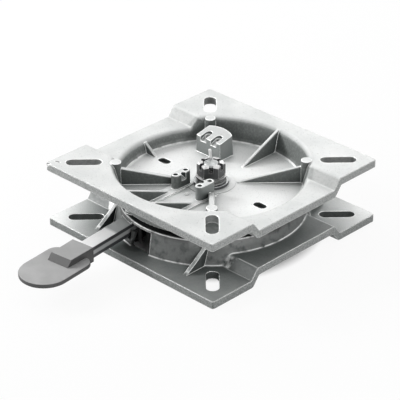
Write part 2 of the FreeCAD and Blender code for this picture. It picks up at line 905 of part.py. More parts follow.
def castle_nut():
    body = chamfered_hexagon(nut_flats, nut_bottom, nut_height, nut_chamfer, nut_top_chamfer)
    nut = body.cut(rod(bolt_radius + fit_gap, nut_bottom - overcut, nut_height + 2 * overcut))
    half = nut_slot_width / 2
    slot = prism([
        (Vector(0, -half, nut_top - nut_slot_depth), edge_round),
        (Vector(0, half, nut_top - nut_slot_depth), edge_round),
        (Vector(0, half, nut_top + overcut), 0),
        (Vector(0, -half, nut_top + overcut), 0),
    ], across * nut_flats)
    spacing = 360 / nut_slot_count
    nut = nut.cut([about_axis(slot, spacing * index) for index in range(nut_slot_count)])
    return about_axis(nut, nut_turn)


def split_pin():
    """pin along X with its eye in the slot on the +X side, one tail bent up and the other down on the far side"""
    radius = split_pin_radius
    leg = radius - seat_gap
    raised = Vector(-bolt_radius - radius - fit_gap, 0, split_pin_height)
    lowered = Vector(-nut_flats / 2 - split_pin_eye_wire - fit_gap, 0, split_pin_height)
    rise = Vector(0, -split_pin_lean, split_pin_rise)
    eye = Vector(split_pin_eye_reach, 0, split_pin_height)
    shank_length = eye.x - split_pin_eye_radius - raised.x
    pin = Part.makeCylinder(radius, shank_length, raised, across).fuse([
        Part.makeSphere(radius, raised),
        Part.makeCone(radius, leg, rise.Length, raised, rise),
        Part.makeSphere(leg, raised + rise),
        Part.makeTorus(split_pin_eye_radius, split_pin_eye_wire, eye, up),
        Part.makeCylinder(split_pin_eye_wire, raised.x - lowered.x, lowered, across),
        Part.makeCylinder(split_pin_eye_wire, split_pin_tail, lowered, -up),
        Part.makeSphere(split_pin_eye_wire, lowered),
    ])
    return about_axis(pin.removeSplitter(), nut_turn)


def bolt_head_washer():
    return ring(bolt_bore_radius, head_washer_radius, bolt_seat, head_washer_thickness)


def support_washer():
    top = hub_face_top + support_washer_thickness
    return turned([
        (bolt_bore_radius, hub_face_top, 0),
        (support_washer_radius, hub_face_top, 0),
        (support_washer_radius, top, edge_round),
        (bolt_bore_radius, top, 0),
    ])


def disc_springs():
    """conical washers in pairs, each pair standing rim to rim"""
    washers = []
    for pair in range(disc_spring_pairs):
        bottom = hub_face_top + support_washer_thickness + pair * spring_pair_height
        middle = bottom + spring_pair_height / 2
        top = bottom + spring_pair_height
        washers.append(turned([
            (bolt_bore_radius, bottom, 0),
            (disc_spring_radius, bottom + disc_spring_cone, 0),
            (disc_spring_radius, middle, 0),
            (bolt_bore_radius, bottom + disc_spring_thickness, 0),
        ]))
        washers.append(turned([
            (bolt_bore_radius, top - disc_spring_thickness, 0),
            (disc_spring_radius, middle, 0),
            (disc_spring_radius, top - disc_spring_cone, 0),
            (bolt_bore_radius, top, 0),
        ]))
    return Part.makeCompound(washers)


# Release lever, made beside the Y axis and then turned
def lever_bar():
    x = -lever_offset
    bar = box(Vector(x - bar_half, -bar_outer_end, bar_bottom), Vector(x + bar_half, bar_inner_end, bar_top))
    bar = rounded(bar, bar_edge_round, lambda edge: edge.Length > bar_outer_end)
    bar = bar.cut(pawl_slot())
    bore = rod(lever_bush_radius, bar_bottom - overcut, bar_height + 2 * overcut, x, -lever_pivot_distance)
    return to_lever(bar.cut(bore).cut(rivet_shanks()))


def pawl_slot():
    right = -lever_offset + bar_half
    half = pawl_thickness / 2
    return box(
        Vector(right - pawl_inset, -pawl_centre - pawl_length / 2, pawl_middle - half),
        Vector(right + overcut, -pawl_centre + pawl_length / 2, pawl_middle + half),
    )


def rivet_shanks():
    x = -lever_offset + bar_half - pawl_inset / 2
    return Part.makeCompound([
        rod(rivet_radius, bar_bottom, bar_height, x, -pawl_centre + side * rivet_spacing / 2) for side in (-1, 1)
    ])


def pawl_rivets():
    x = -lever_offset + bar_half - pawl_inset / 2
    rivets = []
    for side in (-1, 1):
        rivet = turned([
            (0, bar_bottom - rivet_head_height, 0),
            (rivet_head_radius - rivet_head_height, bar_bottom - rivet_head_height, 0),
            (rivet_head_radius, bar_bottom, 0),
            (rivet_radius, bar_bottom, 0),
            (rivet_radius, bar_top, 0),
            (rivet_head_radius, bar_top, 0),
            (rivet_head_radius - rivet_head_height, bar_top + rivet_head_height, 0),
            (0, bar_top + rivet_head_height, 0),
        ])
        rivets.append(moved(rivet, x, -pawl_centre + side * rivet_spacing / 2))
    return to_lever(Part.makeCompound(rivets))


def lock_pawl():
    right = -lever_offset + bar_half
    tip = -notch_root_radius - pawl_gap
    flare = (notch_mouth_width - notch_root_width) / notch_depth / 2
    half_tip = notch_root_width / 2 - pawl_gap
    half_base = half_tip + (tip - right) * flare
    bottom = pawl_middle - pawl_thickness / 2
    near = -pawl_centre - pawl_length / 2
    far = -pawl_centre + pawl_length / 2
    plate = prism([
        (Vector(right - pawl_inset, near, bottom), 0),
        (Vector(right, near, bottom), 0),
        (Vector(right, -half_base, bottom), 0),
        (Vector(tip, -half_tip, bottom), edge_round),
        (Vector(tip, half_tip, bottom), edge_round),
        (Vector(right, half_base, bottom), 0),
        (Vector(right, far, bottom), 0),
        (Vector(right - pawl_inset, far, bottom), 0),
    ], up * pawl_thickness)
    return to_lever(plate.cut(rivet_shanks()))


def lever_bush():
    return on_pivot(ring(lever_bush_bore, lever_bush_radius, bar_bottom, bar_height))


def lever_handle():
    """grip with a sleeve over the bar and a flat round-ended paddle"""
    paddle_x = -lever_offset - paddle_offset
    sleeve_x = -lever_offset - sleeve_offset
    sleeve_top = bar_top + sleeve_wall
    sleeve_bottom = bar_bottom - sleeve_wall
    paddle_top = sleeve_top - paddle_step
    paddle_bottom = paddle_top - paddle_thickness
    half = paddle_width / 2
    paddle = prism([
        (Vector(paddle_x - half, -paddle_start, paddle_bottom), paddle_shoulder_radius),
        (Vector(paddle_x + half, -paddle_start, paddle_bottom), paddle_shoulder_radius),
        (Vector(paddle_x + half, -paddle_end, paddle_bottom), paddle_front_radius),
        (Vector(paddle_x - half, -paddle_end, paddle_bottom), paddle_front_radius),
    ], up * paddle_thickness)
    paddle = rounded(paddle, paddle_edge_round, lambda edge: not upright(edge))
    back_half = sleeve_width / 2
    front_half = sleeve_front_width / 2
    front = sleeve_end + sleeve_slope_run
    plan = prism([
        (Vector(sleeve_x - back_half, -sleeve_start, sleeve_bottom), 0),
        (Vector(sleeve_x + back_half, -sleeve_start, sleeve_bottom), 0),
        (Vector(sleeve_x + front_half, -front, sleeve_bottom), 0),
        (Vector(sleeve_x - front_half, -front, sleeve_bottom), 0),
    ], up * (sleeve_top - sleeve_bottom))
    plan = rounded(plan, sleeve_edge_round, lambda edge: abs(edge.Length) > sleeve_width + overcut)
    profile = prism([
        (Vector(sleeve_x - sleeve_width, -sleeve_start, sleeve_bottom), 0),
        (Vector(sleeve_x - sleeve_width, -sleeve_start, sleeve_top), 0),
        (Vector(sleeve_x - sleeve_width, -sleeve_end, sleeve_top), sleeve_edge_round),
        (Vector(sleeve_x - sleeve_width, -front, paddle_top - overlap), 0),
        (Vector(sleeve_x - sleeve_width, -front, paddle_bottom + overlap), 0),
        (Vector(sleeve_x - sleeve_width, -sleeve_end, sleeve_bottom), sleeve_edge_round),
    ], across * (2 * sleeve_width))
    grip = plan.common(profile).fuse(paddle).removeSplitter()
    x = -lever_offset
    socket = box(Vector(x - bar_half, -bar_outer_end, bar_bottom), Vector(x + bar_half, 0, bar_top))
    socket = rounded(socket, bar_edge_round, lambda edge: edge.Length > bar_outer_end - overcut)
    return to_lever(grip.cut(socket))


# Lever pivot, return spring and pins, which stay with the lower casting
def lever_pivot_bolt():
    head = chamfered_hexagon(pivot_head_flats, pivot_head_top - pivot_head_height, pivot_head_height,
                             nut_chamfer, nut_chamfer)
    shank = turned([
        (0, pivot_head_top - overlap, 0),
        (pivot_shoulder_radius, pivot_head_top - overlap, 0),
        (pivot_shoulder_radius, lower_roof_under, 0),
        (pivot_thread_radius, lower_roof_under, 0),
        (pivot_thread_radius, lower_roof_under + pivot_thread_length, edge_round),
        (0, lower_roof_under + pivot_thread_length, 0),
    ])
    return on_pivot(head.fuse(shank).removeSplitter())


def lever_washer():
    bottom = lower_roof_under - lever_washer_thickness
    return on_pivot(ring(lever_bush_bore, lever_washer_radius, bottom, lever_washer_thickness))


def keeper_washer():
    return on_pivot(ring(lever_bush_bore, keeper_washer_radius, pivot_head_top, keeper_washer_thickness))


def spring_path():
    """points of the spring's wire from its fixed leg, round the coil, to the hook on the bar's side"""
    side = bar_half + spring_wire_radius + fit_gap
    away = math.hypot(side, spring_leg_reach)
    leave = math.atan2(spring_leg_reach, -side) + math.acos(spring_coil_radius / away)
    high = bar_bottom - seat_gap - spring_wire_radius
    low = keeper_top + fit_gap + spring_wire_radius
    start = leave + 2 * math.pi * spring_turns
    foot = Vector(-math.sin(start), math.cos(start), 0) * spring_fixed_leg
    coil_start = Vector(spring_coil_radius * math.cos(start), spring_coil_radius * math.sin(start), low)
    points = [coil_start + foot, coil_start + foot * 0.5]
    steps = round(spring_turns * spring_points_per_turn)
    for step in range(steps + 1):
        share = step / steps
        angle = start + (leave - start) * share
        height = low + (high - low) * share
        points.append(Vector(spring_coil_radius * math.cos(angle), spring_coil_radius * math.sin(angle), height))
    bend = 2 * spring_wire_radius
    bend_middle = bend * (1 - math.sqrt(0.5))
    end = Vector(-side, spring_leg_reach, high)
    toward_coil = points[-1] - end
    toward_coil.normalize()
    points.append((points[-1] + end) * 0.5)
    points.append(end + toward_coil * bend)
    points.append(end + (toward_coil + up) * bend_middle)
    points.append(end + up * bend)
    points.append(end + up * spring_hook_height)
    return points


def return_spring():
    points = spring_path()
    curve = Part.BSplineCurve()
    curve.interpolate(points)
    direction = points[1] - points[0]
    profile = Part.Wire(Part.makeCircle(spring_wire_radius, points[0], direction))
    wire = Part.Wire(curve.toShape())
    return on_pivot(wire.makePipeShell([profile], True, False))


def roof_pin(radius, length, x, y):
    """pin pressed up into the roof of the lower casting"""
    top = lower_roof_under + pin_seat_depth
    return to_lever(rod(radius, top - length, length, x, y))


def spring_anchor_pin():
    first, second = spring_path()[:2]
    along = second - first
    along.normalize()
    stand_off = spring_wire_radius + anchor_pin_radius + fit_gap
    place = first + along * spring_wire_radius + Vector(-along.y, along.x, 0) * stand_off
    return roof_pin(anchor_pin_radius, anchor_pin_length, place.x - lever_offset, place.y - lever_pivot_distance)


def lever_stop_pin():
    """pin that the bar's inner part meets at the end of its swing"""
    swing = math.radians(lever_swing)
    reach = lever_pivot_distance + bar_inner_end - stop_pin_position
    stand_off = bar_half + stop_pin_radius + running_gap
    x = -lever_offset - stand_off * math.cos(swing) - reach * math.sin(swing)
    y = -lever_pivot_distance - stand_off * math.sin(swing) + reach * math.cos(swing)
    return roof_pin(stop_pin_radius, stop_pin_length, x, y)


os.makedirs("parts", exist_ok=True)
save("upper_casting", upper_casting())
save("lower_casting", lower_casting())
save("slide_ring", slide_ring())
save("slide_ring_screws", around_ring(slide_screw(0)))
save("hub_bush", hub_bush())
save("thrust_washer", thrust_washer())
save("pivot_bolt", pivot_bolt())
save("bolt_head_washer", bolt_head_washer())
save("lock_disc", lock_disc())
save("drive_dowels", drive_dowels())
save("support_washer", support_washer())
save("disc_springs", disc_springs())
save("castle_nut", castle_nut())
save("split_pin", split_pin())
save("lever_bar", lever_bar())
save("lock_pawl", lock_pawl())
save("pawl_rivets", pawl_rivets())
save("lever_handle", lever_handle())
save("lever_bush", lever_bush())
save("lever_pivot_bolt", lever_pivot_bolt())
save("lever_washer", lever_washer())
save("keeper_washer", keeper_washer())
save("return_spring", return_spring())
save("spring_anchor_pin", spring_anchor_pin())
save("lever_stop_pin", lever_stop_pin())
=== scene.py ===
import bpy
import json
import math
from mathutils import Matrix, Vector

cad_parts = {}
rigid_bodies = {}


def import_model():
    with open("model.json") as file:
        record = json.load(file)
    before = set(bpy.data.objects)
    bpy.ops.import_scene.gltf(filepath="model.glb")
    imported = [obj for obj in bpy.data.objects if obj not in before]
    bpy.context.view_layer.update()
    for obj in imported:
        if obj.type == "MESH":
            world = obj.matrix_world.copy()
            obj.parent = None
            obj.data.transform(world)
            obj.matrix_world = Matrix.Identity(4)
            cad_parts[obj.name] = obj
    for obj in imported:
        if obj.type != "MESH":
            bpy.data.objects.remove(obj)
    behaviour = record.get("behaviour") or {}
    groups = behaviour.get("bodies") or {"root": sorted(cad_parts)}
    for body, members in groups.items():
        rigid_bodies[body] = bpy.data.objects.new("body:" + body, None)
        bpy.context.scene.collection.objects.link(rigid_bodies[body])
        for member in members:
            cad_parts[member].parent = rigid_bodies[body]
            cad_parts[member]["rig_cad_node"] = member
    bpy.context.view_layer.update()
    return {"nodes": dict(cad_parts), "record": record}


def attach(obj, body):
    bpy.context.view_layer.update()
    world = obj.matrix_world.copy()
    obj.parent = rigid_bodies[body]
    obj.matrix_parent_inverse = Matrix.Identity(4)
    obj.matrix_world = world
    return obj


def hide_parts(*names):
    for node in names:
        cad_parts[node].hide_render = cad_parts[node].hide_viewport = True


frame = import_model()
nodes = frame["nodes"]
bodyOf = {name: node.parent.name.split(":")[1] for name, node in nodes.items()}
slotOf = {part["node"]: part["material_slot"] for part in frame["record"]["subparts"]}
mm = 0.001
print("frame loaded:", len(nodes), "nodes")


def newMaterial(name):
    made = bpy.data.materials.new(name)
    made.use_nodes = True
    tree = made.node_tree
    return made, tree, tree.nodes["Principled BSDF"]


def addNode(tree, kind, **values):
    node = tree.nodes.new(kind)
    for name, value in values.items():
        setattr(node, name, value)
    return node


def ownPlace(tree):
    return addNode(tree, "ShaderNodeTexCoord").outputs["Object"]


def ownHeight(tree):
    split = addNode(tree, "ShaderNodeSeparateXYZ")
    tree.links.new(ownPlace(tree), split.inputs["Vector"])
    return split.outputs["Z"]


def ownFacing(tree):
    # 1 on faces that look straight up or down, 0 on upright ones
    coords = addNode(tree, "ShaderNodeTexCoord")
    split = addNode(tree, "ShaderNodeSeparateXYZ")
    size = addNode(tree, "ShaderNodeMath", operation="ABSOLUTE")
    tree.links.new(coords.outputs["Normal"], split.inputs["Vector"])
    tree.links.new(split.outputs["Z"], size.inputs[0])
    return size.outputs["Value"]


def spanned(tree, value, start, end):
    # 0 at the start and 1 at the end, held beyond them, also where the end is the lower one
    ramp = addNode(tree, "ShaderNodeMapRange")
    ramp.inputs["From Min"].default_value = start
    ramp.inputs["From Max"].default_value = end
    tree.links.new(value, ramp.inputs["Value"])
    return ramp.outputs["Result"]


def ramped(tree, mask, low, high):
    ramp = addNode(tree, "ShaderNodeMapRange")
    ramp.inputs["To Min"].default_value = low
    ramp.inputs["To Max"].default_value = high
    tree.links.new(mask, ramp.inputs["Value"])
    return ramp.outputs["Result"]


def product(tree, first, second):
    both = addNode(tree, "ShaderNodeMath", operation="MULTIPLY")
    tree.links.new(first, both.inputs[0])
    tree.links.new(second, both.inputs[1])
    return both.outputs["Value"]


def opposite(tree, mask):
    other = addNode(tree, "ShaderNodeMath", operation="SUBTRACT")
    other.inputs[0].default_value = 1.0
    tree.links.new(mask, other.inputs[1])
    return other.outputs["Value"]


def noiseField(tree, scale, detail):
    noise = addNode(tree, "ShaderNodeTexNoise")
    noise.inputs["Scale"].default_value = scale
    noise.inputs["Detail"].default_value = detail
    tree.links.new(ownPlace(tree), noise.inputs["Vector"])
    return noise.outputs["Fac"]


def noiseMask(tree, scale, detail, low=0.35, high=0.65):
    return spanned(tree, noiseField(tree, scale, detail), low, high)


def flankMask(tree, low, high):
    # 1 on upright faces, 0 on faces that look up or down
    return spanned(tree, ownFacing(tree), high, low)


def slopeMask(tree, low, middle, high):
    # 1 where a surface leans by about the middle value, as in the bend of a fillet
    facing = ownFacing(tree)
    return product(tree, spanned(tree, facing, low, middle), spanned(tree, facing, high, middle))


def bandMask(tree, low, high, soft):
    # 1 between two heights of the piece
    height = ownHeight(tree)
    return product(tree, spanned(tree, height, low - soft, low), spanned(tree, height, high + soft, high))


def farMask(tree, radius, soft):
    # 1 further than a radius from the piece's upright middle line
    flat = addNode(tree, "ShaderNodeVectorMath", operation="MULTIPLY")
    flat.inputs[1].default_value = (1, 1, 0)
    length = addNode(tree, "ShaderNodeVectorMath", operation="LENGTH")
    tree.links.new(ownPlace(tree), flat.inputs[0])
    tree.links.new(flat.outputs["Vector"], length.inputs[0])
    return spanned(tree, length.outputs["Value"], radius - soft, radius)


def rimMask(tree, reach):
    # 1 on the upright faces round a square plate
    size = addNode(tree, "ShaderNodeVectorMath", operation="ABSOLUTE")
    split = addNode(tree, "ShaderNodeSeparateXYZ")
    most = addNode(tree, "ShaderNodeMath", operation="MAXIMUM")
    far = addNode(tree, "ShaderNodeMath", operation="GREATER_THAN")
    far.inputs[1].default_value = reach
    tree.links.new(ownPlace(tree), size.inputs[0])
    tree.links.new(size.outputs["Vector"], split.inputs["Vector"])
    tree.links.new(split.outputs["X"], most.inputs[0])
    tree.links.new(split.outputs["Y"], most.inputs[1])
    tree.links.new(most.outputs["Value"], far.inputs[0])
    return far.outputs["Value"]


def edgeMask(tree, width):
    # 1 along edges, where the rounded normal leaves the true one
    bevel = addNode(tree, "ShaderNodeBevel", samples=6)
    bevel.inputs["Radius"].default_value = width
    shape = addNode(tree, "ShaderNodeNewGeometry")
    dot = addNode(tree, "ShaderNodeVectorMath", operation="DOT_PRODUCT")
    tree.links.new(bevel.outputs["Normal"], dot.inputs[0])
    tree.links.new(shape.outputs["Normal"], dot.inputs[1])
    return spanned(tree, dot.outputs["Value"], 0.995, 0.90)


def hollowMask(tree, reach, low, high):
    # 1 in corners and hollows that little light gets into
    shade = addNode(tree, "ShaderNodeAmbientOcclusion", samples=8)
    shade.inputs["Distance"].default_value = reach
    return spanned(tree, shade.outputs["AO"], high, low)


# the ragged outline of a spot, as a shift of its coordinates
raggedness = {"grain": 700.0, "shift": 2.2 * mm}


def spotMask(tree, place, size, turn, level=1.0, soft=0.15):
    # 1 inside a ragged, stretched spot, whose outline grows with the level
    noise = addNode(tree, "ShaderNodeTexNoise")
    noise.inputs["Scale"].default_value = raggedness["grain"]
    ragged = addNode(tree, "ShaderNodeVectorMath", operation="MULTIPLY_ADD")
    ragged.inputs[1].default_value = (raggedness["shift"], raggedness["shift"], 0.0)
    spot = addNode(tree, "ShaderNodeMapping", vector_type="TEXTURE")
    half = raggedness["shift"] / 2
    spot.inputs["Location"].default_value = (place[0] + half, place[1] + half, place[2])
    spot.inputs["Rotation"].default_value = (0, 0, turn)
    spot.inputs["Scale"].default_value = size
    length = addNode(tree, "ShaderNodeVectorMath", operation="LENGTH")
    own = ownPlace(tree)
    tree.links.new(own, noise.inputs["Vector"])
    tree.links.new(noise.outputs["Color"], ragged.inputs[0])
    tree.links.new(own, ragged.inputs[2])
    tree.links.new(ragged.outputs["Vector"], spot.inputs["Vector"])
    tree.links.new(spot.outputs["Vector"], length.inputs[0])
    return spanned(tree, length.outputs["Value"], level, level * (1 - soft))


def mixColours(tree, mask, first, second):
    mix = addNode(tree, "ShaderNodeMix", data_type="RGBA")
    tree.links.new(mask, mix.inputs["Factor"])
    for socket, colour in ((mix.inputs[6], first), (mix.inputs[7], second)):
        if isinstance(colour, tuple):
            socket.default_value = (*colour, 1)
        else:
            tree.links.new(colour, socket)
    return mix.outputs[2]


def darkened(tree, mask, colour, tint):
    mix = addNode(tree, "ShaderNodeMix", data_type="RGBA", blend_type="MULTIPLY")
    tree.links.new(mask, mix.inputs["Factor"])
    tree.links.new(colour, mix.inputs[6])
    mix.inputs[7].default_value = (*tint, 1)
    return mix.outputs[2]


def varyRoughness(tree, shader, scale, low, high):
    tree.links.new(ramped(tree, noiseMask(tree, scale, 3), low, high), shader.inputs["Roughness"])


def addBump(tree, shader, scale, detail, strength, depth, rounding=0.0):
    # fine grain, with softened edges where a rounding is given
    bump = addNode(tree, "ShaderNodeBump")
    bump.inputs["Strength"].default_value = strength
    bump.inputs["Distance"].default_value = depth
    tree.links.new(noiseField(tree, scale, detail), bump.inputs["Height"])
    tree.links.new(bump.outputs["Normal"], shader.inputs["Normal"])
    if rounding:
        bevel = addNode(tree, "ShaderNodeBevel", samples=6)
        bevel.inputs["Radius"].default_value = rounding
        tree.links.new(bevel.outputs["Normal"], bump.inputs["Normal"])


# cast aluminium: what both castings share, then what each has of its own; upright faces take darker greys as painted
# shade
# a spot is its middle, its half sizes and its turn, and a slope is 1 on level faces and 0 on upright ones
castSurface = {
    "patchGrain": 26.0, "speck": (0.21, 0.22, 0.215), "speckGrain": 700.0, "speckSpan": (0.64, 0.78),
    "mottleGrain": 420.0, "mottleSpan": (0.45, 0.75), "flankSpan": (0.5, 0.93), "mouthRadius": 0.124,
    "sawnRimShade": (0.42, 0.43, 0.425), "sawnGrain": 630.0, "plateReach": 0.1392,
    "hollowSpan": (0.15, 0.8), "drumFoot": 0.128, "fade": 2 * mm,
    "bendHeights": (-1 * mm, 59.5 * mm, 2 * mm), "bendSlope": (0.2, 0.62, 0.97),
    "bendGrain": 90.0, "bendSpan": (0.3, 0.5),
    "rim": (0.97, 0.98, 0.97), "rimWidth": 1.5 * mm, "rimMetal": 0.9,
    "hubStep": (55.2 * mm, 56.3 * mm, 0.2 * mm), "hubRadius": 0.034,
    "metal": 0.15, "rough": 0.5, "roughSpread": 0.08, "roughGrain": 300.0,
    "bump": 0.26, "bumpGrain": 1400.0, "bumpDepth": 0.25 * mm, "rounding": 1.2 * mm,
}
upperCasting = dict(
    castSurface, light=(0.74, 0.75, 0.742), dark=(0.63, 0.645, 0.638), flankShade=(0.152, 0.164, 0.158),
    mottle=(0.23, 0.242, 0.236), slotWall=(0.34, 0.345, 0.34), hollowShade=(0.30, 0.33, 0.325), hollowReach=0.04,
    dish={"colour": (0.87, 0.88, 0.872), "heights": (50 * mm, 57.5 * mm, 0.5 * mm)},
    blockTop={"colour": (0.56, 0.57, 0.563), "spot": ((-0.0513, 0.0583, 0.0775), (0.036, 0.03, 0.007), 0.0)},
    paintedLitFlanks={"colour": (0.265, 0.28, 0.275),
                "spots": [((-0.0513, 0.0583, 0.067), (0.034, 0.025, 0.03), 0.0),
                          ((0.0203, -0.0314, 0.066), (0.010, 0.018, 0.02), 0.0)]},
    chips={"pit": (0.03, 0.03, 0.03), "lip": 1.5,
           "spots": [((-0.1315, -0.1285, 0.085), (0.0036, 0.0011, 0.004), 0.3),
                     ((-0.1365, -0.1392, 0.085), (0.0038, 0.0009, 0.004), 0.1)]},
)
# the lower casting is the same metal in darker greys, as painted shade under the upper plate
shadedLowerCasting = dict(
    castSurface, light=(0.39, 0.40, 0.395), dark=(0.30, 0.315, 0.31), flankShade=(0.075, 0.083, 0.08),
    mottle=(0.11, 0.119, 0.116), slotWall=(0.15, 0.16, 0.156), hollowShade=(0.28, 0.31, 0.305), hollowReach=0.085,
    paintedLitCorners={"colour": (0.86, 0.87, 0.862), "soft": 0.6,
                  "spots": [((-0.14, -0.14, 0.006), (0.14, 0.075, 0.012), -0.785),
                            ((0.14, 0.14, 0.006), (0.10, 0.08, 0.012), 0.785)]},
    drumInsideShade={"tint": (0.12, 0.12, 0.12), "radius": 0.1135, "heights": (-1 * mm, 40 * mm, 1 * mm)},
    window={"tint": (0.5, 0.5, 0.5), "soft": 0.3, "spot": ((-0.014, -0.118, 0.02), (0.017, 0.012, 0.024), 0.0)},
    creaseHighlights={"slope": (0.86, 0.94, 0.985), "share": 0.75},
)


def castLevelFaces(tree, look):
    colour = mixColours(tree, noiseMask(tree, look["patchGrain"], 5), look["light"], look["dark"])
    # the dish floor painted lighter than the tops, as a painted sheen
    if "dish" in look:
        colour = mixColours(tree, bandMask(tree, *look["dish"]["heights"]), colour, look["dish"]["colour"])
    if "blockTop" in look:
        colour = mixColours(tree, spotMask(tree, *look["blockTop"]["spot"]), colour, look["blockTop"]["colour"])
    # painted light on two corners of the lower plate
    if "paintedLitCorners" in look:
        for spot in look["paintedLitCorners"]["spots"]:
            mask = spotMask(tree, *spot, soft=look["paintedLitCorners"]["soft"])
            colour = mixColours(tree, mask, colour, look["paintedLitCorners"]["colour"])
    return mixColours(tree, noiseMask(tree, look["speckGrain"], 2, *look["speckSpan"]), colour, look["speck"])


# painted shade on upright faces: a dark grey inside the mouth radius, a lighter one beyond it, with random mottle
def castUprightFaces(tree, look):
    colour = mixColours(tree, farMask(tree, look["mouthRadius"], look["fade"]), look["flankShade"], look["slotWall"])
    colour = mixColours(tree, noiseMask(tree, look["mottleGrain"], 3, *look["mottleSpan"]), colour, look["mottle"])
    # painted light: some block faces are set lighter
    if "paintedLitFlanks" in look:
        for spot in look["paintedLitFlanks"]["spots"]:
            colour = mixColours(tree, spotMask(tree, *spot), colour, look["paintedLitFlanks"]["colour"])
    return colour


def castAluminium(name, look):
    made, tree, shader = newMaterial(name)
    level, upright = castLevelFaces(tree, look), castUprightFaces(tree, look)
    # upright faces take the painted shade colours, level faces their own
    colour = mixColours(tree, flankMask(tree, *look["flankSpan"]), level, upright)
    # the plate's upright rim faces: sawn grain and specks, in a grey set darker than the tops as painted shade
    sawnRimShade = mixColours(tree, noiseMask(tree, look["sawnGrain"], 3), look["sawnRimShade"], look["speck"])
    colour = mixColours(tree, rimMask(tree, look["plateReach"]), colour, sawnRimShade)
    # painted shade in corners and hollows, and on the lower plate under the upper one
    colour = darkened(tree, hollowMask(tree, look["hollowReach"], *look["hollowSpan"]), colour, look["hollowShade"])
    # bright edges, partly wear and partly painted highlight lines, with more metal on them
    edgeWearAndHighlights = edgeMask(tree, look["rimWidth"])
    # the low step round the hub stays plain
    hub = product(tree, bandMask(tree, *look["hubStep"]), opposite(tree, farMask(tree, look["hubRadius"], 1 * mm)))
    edgeWearAndHighlights = product(tree, edgeWearAndHighlights, opposite(tree, hub))
    # painted shade inside the drum
    if "drumInsideShade" in look:
        near = opposite(tree, farMask(tree, look["drumInsideShade"]["radius"], 1 * mm))
        inside = product(tree, near, bandMask(tree, *look["drumInsideShade"]["heights"]))
        colour = darkened(tree, inside, colour, look["drumInsideShade"]["tint"])
    # painted shade in the drum's window, where the edges get no highlight
    if "window" in look:
        shade = spotMask(tree, *look["window"]["spot"], soft=look["window"]["soft"])
        colour = darkened(tree, shade, colour, look["window"]["tint"])
        edgeWearAndHighlights = product(tree, edgeWearAndHighlights, opposite(tree, shade))
    # painted highlight on the bends at the drum's foot and along its ribs
    bendHighlights = product(tree, bandMask(tree, *look["bendHeights"]), slopeMask(tree, *look["bendSlope"]))
    bendHighlights = product(tree, bendHighlights, noiseMask(tree, look["bendGrain"], 4, *look["bendSpan"]))
    bendHighlights = product(tree, bendHighlights, opposite(tree, farMask(tree, look["drumFoot"], look["fade"])))
    colour = mixColours(tree, bendHighlights, colour, look["rim"])
    if "creaseHighlights" in look:
        # painted highlight lines along the plate's steps
        steps = farMask(tree, look["drumFoot"], look["fade"])
        creaseHighlights = product(tree, slopeMask(tree, *look["creaseHighlights"]["slope"]), steps)
        colour = mixColours(tree, ramped(tree, creaseHighlights, 0.0, look["creaseHighlights"]["share"]), colour, look["rim"])
    colour = mixColours(tree, edgeWearAndHighlights, colour, look["rim"])
    if "chips" in look:
        # a chip is a dark pit with a bright lip
        for spot in look["chips"]["spots"]:
            colour = mixColours(tree, spotMask(tree, *spot, look["chips"]["lip"]), colour, look["rim"])
            colour = mixColours(tree, spotMask(tree, *spot), colour, look["chips"]["pit"])
    tree.links.new(colour, shader.inputs["Base Color"])
    tree.links.new(ramped(tree, edgeWearAndHighlights, look["metal"], look["rimMetal"]), shader.inputs["Metallic"])
    spread = look["roughSpread"]
    varyRoughness(tree, shader, look["roughGrain"], look["rough"] - spread, look["rough"] + spread)
    addBump(tree, shader, look["bumpGrain"], 3, look["bump"], look["bumpDepth"], look["rounding"])
    return made


# plain metals, the bump's and the roughness's grain following the patches; upright faces darker as painted shade
zincPlate = {"light": (0.42, 0.43, 0.43), "dark": (0.30, 0.31, 0.31), "flankShade": (0.10, 0.102, 0.105),
             "rim": (0.9, 0.9, 0.9), "patchGrain": 90.0, "rough": 0.33, "metal": 1.0}
nutSteel = {"light": (0.66, 0.66, 0.655), "dark": (0.34, 0.34, 0.34), "flankShade": (0.1, 0.101, 0.103),
            "rim": (0.55, 0.55, 0.545), "patchGrain": 300.0, "rough": 0.36, "metal": 0.7}
oiledSteel = {"light": (0.05, 0.05, 0.05), "dark": (0.025, 0.025, 0.025),
              "patchGrain": 240.0, "rough": 0.42, "metal": 0.3}
groundSteel = {"light": (0.46, 0.46, 0.48), "dark": (0.30, 0.30, 0.32),
               "patchGrain": 240.0, "rough": 0.34, "metal": 1.0}
bronze = {"light": (0.62, 0.45, 0.24), "dark": (0.45, 0.32, 0.17),
          "patchGrain": 220.0, "rough": 0.38, "metal": 1.0}
metalWearAndShade = {"flankSpan": (0.35, 0.9), "rimWidth": 0.7 * mm, "roughGrain": 3, "smoothest": 0.8, "roughest": 1.25,
             "bumpGrain": 8, "bump": 0.06, "bumpDepth": 0.1 * mm}


def finishMetal(tree, shader, colour, look):
    tree.links.new(colour, shader.inputs["Base Color"])
    shader.inputs["Metallic"].default_value = look["metal"]
    varyRoughness(tree, shader, look["patchGrain"] * metalWearAndShade["roughGrain"],
                  look["rough"] * metalWearAndShade["smoothest"], look["rough"] * metalWearAndShade["roughest"])
    addBump(tree, shader, look["patchGrain"] * metalWearAndShade["bumpGrain"], 2, metalWearAndShade["bump"], metalWearAndShade["bumpDepth"])


def plainMetal(name, look):
    made, tree, shader = newMaterial(name)
    colour = mixColours(tree, noiseMask(tree, look["patchGrain"], 4), look["light"], look["dark"])
    # painted shade on upright faces
    if "flankShade" in look:
        colour = mixColours(tree, flankMask(tree, *metalWearAndShade["flankSpan"]), colour, look["flankShade"])
    # lighter edges, partly wear and partly painted highlight
    if "rim" in look:
        colour = mixColours(tree, edgeMask(tree, metalWearAndShade["rimWidth"]), colour, look["rim"])
    finishMetal(tree, shader, colour, look)
    return made


